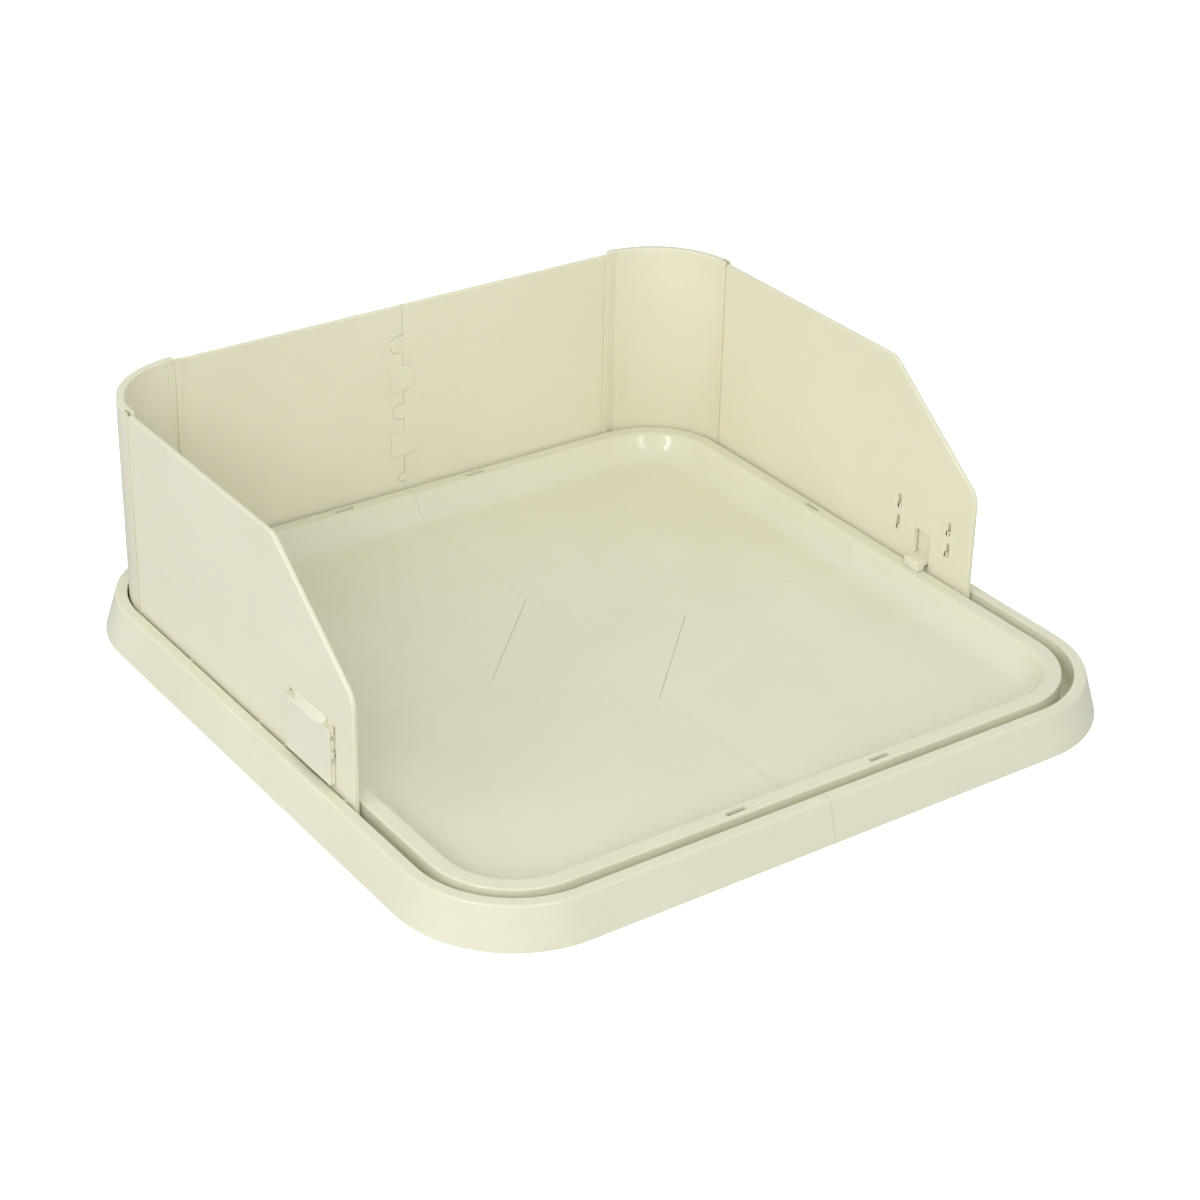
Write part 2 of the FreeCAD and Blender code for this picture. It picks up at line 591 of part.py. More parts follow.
# Window for the latch's arm and four slots for its legs, which leave room for its travel.
LEG_OUT = "latch_wide / 2"
LEG_IN = "( latch_wide / 2 - leg_wide )"
window = new_sketch(side_panel, "latch_window", "YZ_Plane", "wall_thick")
rectangle(window, (LATCH_MID + " - window_wide / 2", "base_high - " + FOOT),
          (LATCH_MID + " + window_wide / 2", "base_high + window_high - " + FOOT))
for leg_row in (0, 1):
    leg_foot = "latch_low + leg_low + %d * leg_pitch - %s" % (leg_row, FOOT)
    slot_low = leg_foot + " - latch_clear"
    slot_high = leg_foot + " + leg_high + latch_travel + latch_clear"
    rectangle(window, ("%s - %s - barb_reach" % (LATCH_MID, LEG_OUT), slot_low),
              ("%s - %s + latch_clear" % (LATCH_MID, LEG_IN), slot_high))
    rectangle(window, ("%s + %s - latch_clear" % (LATCH_MID, LEG_IN), slot_low),
              ("%s + %s + barb_reach" % (LATCH_MID, LEG_OUT), slot_high))
pocket(side_panel, window, "wall_thick")

# Centring ribs: one each side of the latch, one at the middle and one towards the back.
rib_places = (LATCH_MID + " - side_rib_front", LATCH_MID + " + side_rib_rear",
              "side_front + slope_start", "side_front + " + BEND + " - side_rib_joint")
for number, place in enumerate(rib_places):
    rib = new_sketch(side_panel, "side_rib_%d" % number, "XY_Plane")
    reach = "groove_wide / 2 - rib_clear"
    rectangle(rib, ("wall_thick / 2 - ( %s )" % reach, place + " - rib_wide / 2"),
              ("wall_thick / 2 + ( %s )" % reach, place + " + rib_wide / 2"))
    pad(side_panel, rib, "base_high - rib_drop - " + FOOT)
side_panel.setExpression("Placement.Base.x", WALL_IN)
side_panel.setExpression("Placement.Base.y", named("-1 * side_front"))
side_panel.setExpression("Placement.Base.z", FOOT)
left_side = mirrored("left_side_panel", side_panel)

# ---------------------------------------------------------------- latches
LATCH_IN = named("( %s + latch_clear )" % WALL_OUT)
LATCH_FACE = named("( %s + latch_deep )" % LATCH_IN)
LATCH_BACK = named("( %s - latch_wall )" % LATCH_FACE)
HOOK_START = CATCH + " - catch_wide / 2 + 2 * hook_clear"
latch_cup = cut(
    "latch_cup",
    box("latch_plate", ("latch_deep", "latch_wide", "latch_high"),
        (LATCH_IN, "-1 * catch_at - latch_wide / 2", "latch_low")),
    [box("latch_hollow", ("latch_deep - latch_wall + cut_past", "latch_wide - 2 * latch_wall",
                          "latch_high - 2 * latch_wall"),
         (LATCH_IN + " - cut_past", "-1 * catch_at - latch_wide / 2 + latch_wall", "latch_low + latch_wall"))])
# The grip is a ramp on the plate's top edge, as deep as the plate below and thin at its top.
grip = doc.addObject("Part::Wedge", "latch_grip")
for corner, text in (("Xmin", "0"), ("Xmax", "latch_deep"), ("X2min", "0"), ("X2max", "grip_edge"),
                     ("Zmin", "0"), ("Zmax", "grip_wide"), ("Z2min", "0"), ("Z2max", "grip_wide"),
                     ("Ymin", "0"), ("Ymax", "grip_rise")):
    grip.setExpression(corner, named(text))
grip.Placement.Rotation = Rotation(Vector(1, 0, 0), 90)
for axis, text in (("x", LATCH_IN), ("y", "-1 * catch_at + grip_wide / 2"), ("z", "latch_low + latch_high")):
    grip.setExpression("Placement.Base." + axis, named(text))
latch_bits = [
    grip,
    box("latch_arm", ("%s + latch_wall / 2 - ( %s )" % (LATCH_BACK, HOOK_START), "arm_wide", "arm_high"),
        (HOOK_START, "-1 * catch_at - arm_wide / 2", "latch_low")),
    box("latch_hook", ("hook_deep", "arm_wide", "latch_low + arm_high - base_high - hook_clear"),
        (HOOK_START, "-1 * catch_at - arm_wide / 2", "base_high + hook_clear")),
    box("latch_tip", ("catch_wide - 4 * hook_clear", "catch_long - 4 * hook_clear",
                      "tip_long + latch_wall / 2"),
        (HOOK_START, "-1 * catch_at - catch_long / 2 + 2 * hook_clear",
         "base_high + hook_clear - tip_long")),
]
for column, side in ((-1, "front"), (1, "rear")):
    for leg_row in (0, 1):
        label = "%s_%d" % (side, leg_row)
        foot = "latch_low + leg_low + %d * leg_pitch" % leg_row
        leg_start = "-1 * catch_at + %s" % (LEG_IN if column > 0 else "-1 * " + LEG_OUT)
        barb_start = "-1 * catch_at + %d * ( %s - barb_reach / 2 ) - barb_reach / 2" % (column, LEG_IN)
        barb_far = WALL_IN + " - latch_clear - barb_deep"
        leg_long = "%s - ( %s ) + latch_wall / 2" % (LATCH_BACK, barb_far)
        latch_bits.append(box("latch_leg_" + label, (leg_long, "leg_wide", "leg_high"),
                              (barb_far, leg_start, foot)))
        latch_bits.append(box("latch_barb_" + label, ("barb_deep", "barb_reach", "leg_high"),
                              (barb_far, barb_start, foot)))
right_latch = fuse("right_latch", [latch_cup] + latch_bits)
left_latch = mirrored("left_latch", right_latch)

# ---------------------------------------------------------------- check and write
pieces = quarters + [lock_plate, right_corner, left_corner, right_back, left_back, side_panel, left_side,
                     right_latch, left_latch]
for piece in pieces:
    piece.Label = piece.Name
doc.recompute()
for item in doc.Objects:
    if "Invalid" in item.State or "Error" in item.State:
        raise RuntimeError("%s is %s" % (item.Name, item.State))
for piece in pieces:
    if piece.Shape.isNull() or not piece.Shape.isValid():
        raise RuntimeError("%s has no valid shape" % piece.Label)
    if len(piece.Shape.Solids) != 1:
        raise RuntimeError("%s is %d solids" % (piece.Label, len(piece.Shape.Solids)))

os.makedirs("parts", exist_ok=True)
for piece in pieces:
    piece.Shape.exportStep("parts/%s.step" % piece.Label)
    extent = piece.Shape.BoundBox
    print("%-26s %9.0f mm3  X %7.1f %7.1f  Y %7.1f %7.1f  Z %6.1f %6.1f" % (
        piece.Label, piece.Shape.Volume, extent.XMin, extent.XMax, extent.YMin, extent.YMax,
        extent.ZMin, extent.ZMax))
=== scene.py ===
import math

import bpy
import numpy as np
from mathutils import Matrix, Vector
from mathutils.geometry import tessellate_polygon


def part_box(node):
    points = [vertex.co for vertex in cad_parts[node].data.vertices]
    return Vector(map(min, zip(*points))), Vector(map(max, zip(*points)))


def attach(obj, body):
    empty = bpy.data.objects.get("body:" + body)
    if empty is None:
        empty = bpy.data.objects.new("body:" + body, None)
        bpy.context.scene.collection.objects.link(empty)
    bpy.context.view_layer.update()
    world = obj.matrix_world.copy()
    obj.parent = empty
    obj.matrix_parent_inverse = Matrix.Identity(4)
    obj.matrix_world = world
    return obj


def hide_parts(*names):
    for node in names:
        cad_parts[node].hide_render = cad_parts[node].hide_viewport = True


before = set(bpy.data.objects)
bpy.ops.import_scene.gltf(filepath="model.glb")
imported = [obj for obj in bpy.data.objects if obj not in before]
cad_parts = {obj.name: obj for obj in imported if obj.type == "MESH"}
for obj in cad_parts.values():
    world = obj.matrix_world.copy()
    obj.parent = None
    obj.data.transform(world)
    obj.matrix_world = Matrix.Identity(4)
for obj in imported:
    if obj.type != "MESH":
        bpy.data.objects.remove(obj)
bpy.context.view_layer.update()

MM = 0.001

# ------------------------------------------------------------------ tray quarters
# Four injection-moulded polypropylene quarters, laid edge to edge and pegged together.  Each is
# one thin moulding: floor, soft slope, flat rim, groove for the wall, ledge and leaning skirt,
# with webs along its seams and crossed ribs under the floor.
RIGHT_TRAY = "back_right_tray"
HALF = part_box(RIGHT_TRAY)[1].x / MM
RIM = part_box(RIGHT_TRAY)[1].z / MM
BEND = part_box("back_right_corner_panel")[0].y / MM
BACK_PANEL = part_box("back_right_panel")
WALL_MID = (BACK_PANEL[0].y + BACK_PANEL[1].y) / 2 / MM
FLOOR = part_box("centre_lock_plate")[1].z / MM
SEAM = 0.12             # half the gap between two quarters
SKIN = 2.5              # thickness of the moulding
UNDER_FLOOR, UNDER_RIM = FLOOR - SKIN, RIM - SKIN
# Widths from the wall outwards and inwards, up to where the floor is quite flat.
GROOVE, LEDGE_WIDE, RIM_WIDE, SLOPE_WIDE, BLEND_WIDE = 10.2, 10.5, 15.3, 11.5, 20
GROOVE_IN = WALL_MID - GROOVE / 2
GROOVE_OUT = WALL_MID + GROOVE / 2
LEDGE_OUT = GROOVE_OUT + LEDGE_WIDE
RIM_IN = GROOVE_IN - RIM_WIDE
FLOOR_OUT = RIM_IN - SLOPE_WIDE
FLAT_OUT = FLOOR_OUT - BLEND_WIDE
# The slots in the rim: middle from the seam, length, width, and middle in from the groove.
SLOT_AT, SLOT_LONG, SLOT_WIDE, SLOT_INSET = 72, 19.5, 4.8, 6.6
SLOT_NEAR = GROOVE_IN - SLOT_INSET - SLOT_WIDE / 2
SLOT_FAR = GROOVE_IN - SLOT_INSET + SLOT_WIDE / 2
RIB_PITCH, RIB = 60, 2
LOCK_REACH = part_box("centre_lock_plate")[1].x / MM
BEND_STEPS = 36


def rounded(corners, steps=6, support=0.35):
    """Closed outline from corners (x, y, radius), each corner an arc tangent to its two sides.

    The arc starts at radius * tan(turn / 2) before the corner and has steps chords.  A point just
    before and just after each arc keeps the flat sides flat when the shading is smooth.
    """
    points = []
    count = len(corners)
    for index, (x, y, radius) in enumerate(corners):
        here = np.array((x, y), float)
        before = np.array(corners[index - 1][:2], float) - here
        after = np.array(corners[(index + 1) % count][:2], float) - here
        long_before, long_after = np.linalg.norm(before), np.linalg.norm(after)
        before, after = before / long_before, after / long_after
        turn = math.pi - math.acos(np.clip(before @ after, -1, 1))
        if radius == 0 or turn < 0.01:
            points.append(here[None])
            continue
        reach = radius * math.tan(turn / 2)
        middle = here + (before + after) / np.linalg.norm(before + after) * math.hypot(reach, radius)
        start, end = here + before * reach, here + after * reach
        angles = np.linspace(0, 1, steps + 1)[:, None]
        first, last = start - middle, end - middle
        arc = middle + (np.sin((1 - angles) * turn) * first + np.sin(angles * turn) * last) / math.sin(turn)
        if reach + support < long_before / 2:
            points.append((start + before * support)[None])
        points.append(arc)
        if reach + support < long_after / 2:
            points.append((end + after * support)[None])
    return np.concatenate(points)


def grid_faces(rows, columns, ring):
    """Quads between neighbouring rows of a grid of vertices; ring joins the last column to the first."""
    row = np.arange(rows - 1)[:, None]
    column = np.arange(columns if ring else columns - 1)[None]
    following = (column + 1) % columns
    quads = np.stack([row * columns + column, row * columns + following,
                      (row + 1) * columns + following, (row + 1) * columns + column], axis=-1)
    return quads.reshape(-1, 4)


def signed_volume(points, faces):
    """Volume inside a closed surface: the sum of its faces' triangles' tetrahedra with the origin."""
    total = 0.0
    for size in {len(face) for face in faces}:
        alike = np.array([face for face in faces if len(face) == size])
        first = points[alike[:, 0]]
        for step in range(1, size - 1):
            second, third = points[alike[:, step]], points[alike[:, step + 1]]
            total += np.einsum("ij,ij->", first, np.cross(second, third))
    return total / 6


def make_piece(name, shells, material, body, nodes):
    """One object from closed shells (points in mm, faces), turned outwards and riding on a body."""
    all_points, all_faces, start = [], [], 0
    for points, faces in shells:
        faces = [tuple(int(i) for i in face) for face in faces]
        if signed_volume(points, faces) < 0:
            faces = [face[::-1] for face in faces]
        all_points.append(points)
        all_faces += [tuple(i + start for i in face) for face in faces]
        start += len(points)
    mesh = bpy.data.meshes.new(name)
    mesh.from_pydata(np.concatenate(all_points) * MM, [], all_faces)
    mesh.polygons.foreach_set("use_smooth", np.ones(len(mesh.polygons), bool))
    mesh.set_sharp_from_angle(angle=math.radians(40))
    mesh.materials.append(material)
    mesh.update()
    piece = bpy.data.objects.new(name, mesh)
    bpy.context.scene.collection.objects.link(piece)
    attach(piece, body)
    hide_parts(*nodes)
    return piece


def inset(loop, distance):
    """Closed outline moved to its left by distance, one value or one a point, with mitred corners.

    A point moves along the sum of its two sides' unit normals, divided by one plus their product.
    """
    side = np.roll(loop, -1, axis=0) - loop
    side /= np.linalg.norm(side, axis=1)[:, None]
    normal = np.stack([-side[:, 1], side[:, 0]], axis=1)
    previous = np.roll(normal, 1, axis=0)
    scale = np.maximum(1 + np.einsum("ij,ij->i", normal, previous), 0.4)
    return loop + (normal + previous) / scale[:, None] * np.reshape(distance, (-1, 1))


def plate(loops, low, high, axes, steps=4, support=0.35):
    """Closed flat plate between two heights with rounded edges and through holes.

    loops are (outline, edge radius): the first runs anticlockwise, holes run clockwise.  Round an
    edge of radius r, a point at angle a stands r (1 - cos a) in from the outline and r (1 - sin a)
    in from the face.  support is a narrow flat margin beyond it, for smooth shading.  axes gives the
    x, y, z columns of (across, along, height).
    """
    points, faces, bottoms, tops, start = [], [], [], [], 0
    for loop, radius in loops:
        radius = np.broadcast_to(np.asarray(radius, float), (len(loop),))
        angles = np.linspace(0, math.pi / 2, steps + 1)
        rings = [(radius + support, np.full(len(loop), low))]
        rings += [(radius * (1 - math.sin(a)), low + radius * (1 - math.cos(a))) for a in angles]
        rings += [(radius * (1 - math.cos(a)), high - radius * (1 - math.sin(a))) for a in angles]
        rings += [(radius + support, np.full(len(loop), high))]
        stack = [np.column_stack([inset(loop, away), height]) for away, height in rings]
        points.append(np.concatenate(stack))
        faces += [tuple(face) for face in grid_faces(len(stack), len(loop), True) + start]
        bottoms.append((stack[0], start))
        tops.append((stack[-1], start + (len(stack) - 1) * len(loop)))
        start += len(stack) * len(loop)
    for caps, order in ((bottoms, -1), (tops, 1)):
        numbers = np.concatenate([np.arange(len(cap)) + first for cap, first in caps])
        flat = tessellate_polygon([[Vector((p[0], p[1], 0)) for p in cap] for cap, first in caps])
        faces += [tuple(numbers[list(corner)][::order]) for corner in orient(flat, caps)]
    return np.concatenate(points)[:, axes], faces


def orient(triangles, caps):
    """Triangles of flat caps, all turned anticlockwise."""
    flat = np.concatenate([cap[:, :2] for cap, first in caps])
    corners = np.array(triangles)
    a, b, c = (flat[corners[:, k]] for k in range(3))
    area = (b[:, 0] - a[:, 0]) * (c[:, 1] - a[:, 1]) - (b[:, 1] - a[:, 1]) * (c[:, 0] - a[:, 0])
    corners[area < 0] = corners[area < 0][:, ::-1]
    return corners[np.abs(area) > 1e-9]


def block(low, high, radius=0.3):
    """Small box between two corners with rounded edges."""
    outline = rounded([(low[0], low[1], radius), (high[0], low[1], radius),
                       (high[0], high[1], radius), (low[0], high[1], radius)], steps=2, support=0.1)
    return plate([(outline, radius)], low[2], high[2], [0, 1, 2], steps=2, support=0.1)


def quarter_path(distance, stations):
    """Points at a distance from both mid-lines, along the right side, round the corner, along the back.

    stations are (side, place): side 0 runs along y, 1 is an angle round the bend, 2 runs back along x.
    """
    side, place = stations[:, 0], stations[:, 1]
    x = np.select([side == 0, side == 1], [distance, BEND + (distance - BEND) * np.cos(place)], place)
    y = np.select([side == 0, side == 1], [place, BEND + (distance - BEND) * np.sin(place)], distance)
    return x, y


def rim_section():
    """Cross-section of a quarter as a closed outline of (distance outwards, height).

    It runs over the top from the centre plate to the ground and back one moulding's thickness below.
    The third number of each corner is its radius.
    """
    return rounded([
        (0, FLOOR, 0.35), (FLAT_OUT, FLOOR, 0), (FLOOR_OUT, FLOOR, 24), (RIM_IN, RIM, 5),
        (SLOT_NEAR, RIM, 0), (SLOT_FAR, RIM, 0), (GROOVE_IN, RIM, 1.6), (GROOVE_IN, FLOOR, 0.6),
        (GROOVE_OUT, FLOOR, 0.6), (GROOVE_OUT, RIM, 0.8), (LEDGE_OUT, RIM, 2.4), (HALF, 0, 0.5),
        (HALF - SKIN, 0, 0.5), (LEDGE_OUT - SKIN, UNDER_RIM, 1), (GROOVE_OUT + SKIN, UNDER_RIM, 1),
        (GROOVE_OUT + SKIN, UNDER_FLOOR, 0.8), (GROOVE_IN - SKIN, UNDER_FLOOR, 0.8),
        (GROOVE_IN - SKIN, UNDER_RIM, 1), (SLOT_FAR, UNDER_RIM, 0), (SLOT_NEAR, UNDER_RIM, 0),
        (RIM_IN + SKIN / 2, UNDER_RIM, 1), (FLOOR_OUT + SKIN / 2, UNDER_FLOOR, 18),
        (FLAT_OUT, UNDER_FLOOR, 0), (0, UNDER_FLOOR, 0.35)])


def tray_shells(turn):
    """Closed shells of one quarter, turned about the middle: the moulding, its webs and its ribs.

    Beyond the floor's flat part a column of the grid keeps its distance from the mid-lines.  Inside it
    a point is a share of the way from the centre plate's edge to that path, so the floor stays flat.
    """
    section = rim_section()
    slot_start, slot_end = SLOT_AT - SLOT_LONG / 2, SLOT_AT + SLOT_LONG / 2
    # Along a straight side: the soft edge at the seam, the slot's two ends, and two places before the bend.
    soft, hold, bend_starts = 0.12, 0.8, (60, 2)
    straight = [SEAM, SEAM + soft, SEAM + hold, slot_start, slot_end] + [BEND - b for b in bend_starts]
    angles = np.linspace(0, math.pi / 2, BEND_STEPS + 1)
    stations = np.array([(0, p) for p in straight] + [(1, a) for a in angles]
                        + [(2, p) for p in straight[::-1]])
    count, columns = len(stations), len(section)
    # The section shrinks a little at both seams, which rounds the moulding's edges there.
    shrunk = inset(section, -soft)
    notch = LOCK_REACH + 2 * SEAM
    rows = []
    along_x, along_y = quarter_path(FLAT_OUT, stations)
    run = np.concatenate([[0], np.cumsum(np.hypot(np.diff(along_x), np.diff(along_y)))])
    share_of_run = (run - run[1]) / (run[-2] - run[1])
    for number in range(count):
        line = shrunk if number in (0, count - 1) else section
        station = np.repeat(stations[number][None], columns, axis=0)
        x, y = quarter_path(line[:, 0], station)
        flat = line[:, 0] < FLAT_OUT
        part = np.clip(share_of_run[number], 0, 1)
        near_x = notch + (SEAM - notch) * part
        near_y = SEAM + (notch - SEAM) * part
        if number in (0, count - 1):
            near_x, near_y = (near_x, SEAM) if number == 0 else (SEAM, near_y)
        share = line[:, 0] / FLAT_OUT
        x = np.where(flat, near_x + (along_x[number] - near_x) * share, x)
        y = np.where(flat, near_y + (along_y[number] - near_y) * share, y)
        rows.append(np.column_stack([x, y, line[:, 1]]))
    points = np.concatenate(rows)
    quads = grid_faces(count, columns, True).reshape(count - 1, columns, 4)

    # Slots: leave out the rim's top and under faces there, and join the two openings with walls.
    def column_at(distance, height):
        return int(np.argmin(np.hypot(section[:, 0] - distance, section[:, 1] - height)))
    top = [column_at(SLOT_NEAR, RIM), column_at(SLOT_FAR, RIM)]
    under = [column_at(SLOT_NEAR, UNDER_RIM), column_at(SLOT_FAR, UNDER_RIM)]
    keep = np.ones((count - 1, columns), bool)
    walls = []
    first = straight.index(slot_start)
    for row in (first, count - 2 - first):
        keep[row, min(top):max(top)] = False
        keep[row, min(under):max(under)] = False
        corners = ((row, 0), (row, 1), (row + 1, 1), (row + 1, 0))
        upper = [r * columns + top[c] for r, c in corners]
        lower = [r * columns + under[c] for r, c in corners]
        walls += [(upper[k - 1], upper[k], lower[k], lower[k - 1]) for k in range(4)]
    caps = [tuple(range(columns))[::-1], tuple(range((count - 1) * columns, count * columns))]
    faces = [tuple(face) for face in quads[keep]] + walls + caps
    shells = [(points, faces)]

    # Webs and ribs end inside the moulding's thickness.
    in_floor, in_rim = UNDER_FLOOR + 0.5, RIM - SKIN / 2
    web = rounded([(SEAM, 0, 0), (HALF - SKIN / 2, 0, 0), (LEDGE_OUT - SKIN / 2, in_rim, 0),
                   (GROOVE_OUT + SKIN / 2, in_rim, 0), (GROOVE_OUT + SKIN / 2, in_floor, 0),
                   (GROOVE_IN - SKIN / 2, in_floor, 0), (GROOVE_IN - SKIN / 2, in_rim, 0),
                   (RIM_IN + SKIN / 2, in_rim, 0), (FLOOR_OUT + SKIN / 2, in_floor, 0),
                   (SEAM, UNDER_FLOOR, 0)])
    # One web of each quarter reaches across the seam, almost to its neighbour, so no light shows through.
    across, set_back = 0.02, 0.05
    for axes, start in (([0, 2, 1], across - SEAM), ([2, 0, 1], SEAM + set_back)):
        shells.append(plate([(web, 0.2)], start, SEAM + SKIN, axes, steps=2, support=0.1))
    for number in range(1, int(FLOOR_OUT // RIB_PITCH) + 1):
        low, high = number * RIB_PITCH - RIB / 2, number * RIB_PITCH + RIB / 2
        shells.append(block((low, SEAM + 1, 0), (high, GROOVE_OUT, in_floor)))
        shells.append(block((SEAM + 1, low, 0), (GROOVE_OUT, high, in_floor)))
    spin = np.array(Matrix.Rotation(turn, 3, "Z"))
    return [(shell @ spin.T, shell_faces) for shell, shell_faces in shells]


def linear(code):
    """Linear colour with alpha from an sRGB hex code."""
    channels = [int(code[k:k + 2], 16) / 255 for k in (1, 3, 5)]
    return [c / 12.92 if c <= 0.04045 else ((c + 0.055) / 1.055) ** 2.4 for c in channels] + [1.0]


def node(tree, kind, settings=None, **links):
    """Add a shader node; settings are attributes or input values, links are input names to sockets."""
    made = tree.nodes.new(kind)
    for key, value in (settings or {}).items():
        if hasattr(made, key) and key not in made.inputs:
            setattr(made, key, value)
        else:
            made.inputs[key].default_value = value
    for key, socket in links.items():
        tree.links.new(socket, made.inputs[key])
    return made


def polypropylene(name, shade, shade_far, gloss):
    """Cream polypropylene from a finely spark-eroded mould.

    The eye gets a satin sheen with soft edges, a very fine matt grain, slow waves where the flat
    walls cooled, and a colour that drifts a little with thickness.  Light goes about two millimetres
    into it, which warms the shadows.  Scales are per metre: the drift has patches of 140 mm, the waves
    are 40 mm long and the grain is 0.5 mm, coarser than the real 0.05 mm so that it shows at all.
    """
    material = bpy.data.materials.new(name)
    material.use_nodes = True
    tree = material.node_tree
    shader = tree.nodes["Principled BSDF"]
    place = node(tree, "ShaderNodeTexCoord").outputs["Object"]
    drift = node(tree, "ShaderNodeTexNoise", {"Scale": 7.0, "Detail": 3.0, "Roughness": 0.55},
                 Vector=place)
    flow = node(tree, "ShaderNodeTexNoise", {"Scale": 26.0, "Detail": 2.0, "Distortion": 0.6},
                Vector=place)
    grain = node(tree, "ShaderNodeTexNoise", {"Scale": 1900.0, "Detail": 2.0, "Roughness": 0.6},
                 Vector=place)
    ramp = node(tree, "ShaderNodeValToRGB", {}, Fac=drift.outputs["Fac"])
    ramp.color_ramp.elements[0].position = 0.3
    ramp.color_ramp.elements[0].color = linear(shade_far)
    ramp.color_ramp.elements[1].position = 0.7
    ramp.color_ramp.elements[1].color = linear(shade)
    tree.links.new(ramp.outputs["Color"], shader.inputs["Base Color"])
    sheen = node(tree, "ShaderNodeMapRange", {"To Min": gloss - 0.04, "To Max": gloss + 0.05},
                 Value=flow.outputs["Fac"])
    tree.links.new(sheen.outputs["Result"], shader.inputs["Roughness"])
    waves = node(tree, "ShaderNodeBump", {"Strength": 0.12, "Distance": 0.6 * MM},
                 Height=flow.outputs["Fac"])
    skin = node(tree, "ShaderNodeBump", {"Strength": 0.10, "Distance": 0.06 * MM},
                Height=grain.outputs["Fac"], Normal=waves.outputs["Normal"])
    tree.links.new(skin.outputs["Normal"], shader.inputs["Normal"])
    shader.inputs["IOR"].default_value = 1.49
    shader.inputs["Subsurface Weight"].default_value = 0.2
    shader.inputs["Subsurface Radius"].default_value = (1.0, 0.85, 0.35)
    shader.inputs["Subsurface Scale"].default_value = 2 * MM
    return material


tray_plastic = polypropylene("cream polypropylene, tray", "#e3e2cc", "#dfdec6", gloss=0.14)
QUARTERS = ["back_right_tray", "back_left_tray", "front_left_tray", "front_right_tray"]
for step, quarter in enumerate(QUARTERS):
    shells = tray_shells(step * math.pi / 2)
    make_piece(quarter + "_moulding", shells, tray_plastic, "tray", [quarter])

# ------------------------------------------------------------------ centre plate
# A small square of the same plastic, turned 45 degrees and pressed flush into the floor.  Four pins
# under it go into the quarters and hold them together.
PIN, PIN_IN = 3, 7      # a pin's radius, and its way in from the edge, counted as x plus y
PIN_AT = (LOCK_REACH - PIN_IN) / 2
PIN_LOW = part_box("centre_lock_plate")[0].z / MM
diamond = rounded([(x * LOCK_REACH, y * LOCK_REACH, 0.6) for x, y in ((1, 0), (0, 1), (-1, 0), (0, -1))])
lock_shells = [plate([(diamond, 0.35)], UNDER_FLOOR, FLOOR, [0, 1, 2])]
turns = np.linspace(0, 2 * math.pi, 24, endpoint=False)
for across, along in ((1, 1), (-1, 1), (-1, -1), (1, -1)):
    circle = np.column_stack([across * PIN_AT + PIN * np.cos(turns), along * PIN_AT + PIN * np.sin(turns)])
    lock_shells.append(plate([(circle, 0.4)], PIN_LOW, UNDER_FLOOR + 0.5, [0, 1, 2]))
make_piece("centre_lock_plate_moulding", lock_shells, tray_plastic, "tray", ["centre_lock_plate"])

# ------------------------------------------------------------------ corner panels
# Two quarter-round wall panels, thicker than the straight ones, with an open channel in each end for
# the neighbour's tongue.  At the back end a lip covers the joint, with a sunk band beside it that
# stops just under the top.
wall_plastic = polypropylene("cream polypropylene, wall", "#e8e5cf", "#e4e1ca", gloss=0.36)
FOOT = BACK_PANEL[0].z / MM
WALL_TOP = BACK_PANEL[1].z / MM
CORNER_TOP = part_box("back_right_corner_panel")[1].z / MM
WALL = 4.6
WALL_ROUND = 1.5        # rounding of a wall's top edge
PROUD = 1.1             # how far the corner stands out past the straight walls
CORNER_GAP = 0.9        # from the groove's inner side to the corner's inner face
CORNER_IN = GROOVE_IN + CORNER_GAP
LIP, LIP_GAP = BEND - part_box("back_right_corner_panel")[0].x / MM, 0.15
# The sunk band beside the lip: its two ends, its sloping side, its depth and its distance from the top.
BAND_START, BAND_END, BAND_SLOPE, BAND_DEEP, BAND_DOWN = -0.3, 7.7, 0.8, 1.5, 2.2
TONGUE, TONGUE_LONG, TONGUE_CLEAR = 2.6, 8, 0.3
CHANNEL_DEEP = TONGUE_LONG + TONGUE_CLEAR
MID_BOW = WALL_MID - BEND


def corner_plan(band, back_deep):
    """Plan of the right corner panel about its bend's centre, anticlockwise.

    band is the sunk band's depth and back_deep the length of the channel in the back end.
    """
    inner, outer = CORNER_IN - BEND, MID_BOW + WALL / 2 + PROUD
    low, high = MID_BOW - TONGUE / 2 - TONGUE_CLEAR, MID_BOW + TONGUE / 2 + TONGUE_CLEAR
    lip_face = MID_BOW - WALL / 2 - LIP_GAP
    bow = np.linspace(0, math.pi / 2, BEND_STEPS + 1)
    back = np.linspace(math.acos(BAND_END / inner), 0, BEND_STEPS)
    outer_arc = outer * np.column_stack([np.cos(bow), np.sin(bow)])
    inner_arc = inner * np.column_stack([np.cos(back), np.sin(back)])
    ends = [(0, high), (back_deep, high), (back_deep, low), (0, low), (0, lip_face), (-LIP, lip_face),
            (-LIP, inner), (BAND_START, inner), (BAND_START + 0.2, inner + band),
            (BAND_END - BAND_SLOPE, inner + band)]
    side = [(low, 0), (low, CHANNEL_DEEP), (high, CHANNEL_DEEP), (high, 0)]
    return np.concatenate([outer_arc, ends, inner_arc, side])


def skin_rings(rings):
    """Closed surface through rings of points that correspond, with a flat cap at each end."""
    stack = np.concatenate(rings)
    size = len(rings[0])
    faces = [tuple(face) for face in grid_faces(len(rings), size, True)]
    for ring, first, order in ((rings[0], 0, -1), (rings[-1], len(stack) - size, 1)):
        flat = tessellate_polygon([[Vector((p[0], p[1], 0)) for p in ring]])
        faces += [tuple((corner + first)[::order]) for corner in orient(flat, [(ring, 0)])]
    return stack, faces


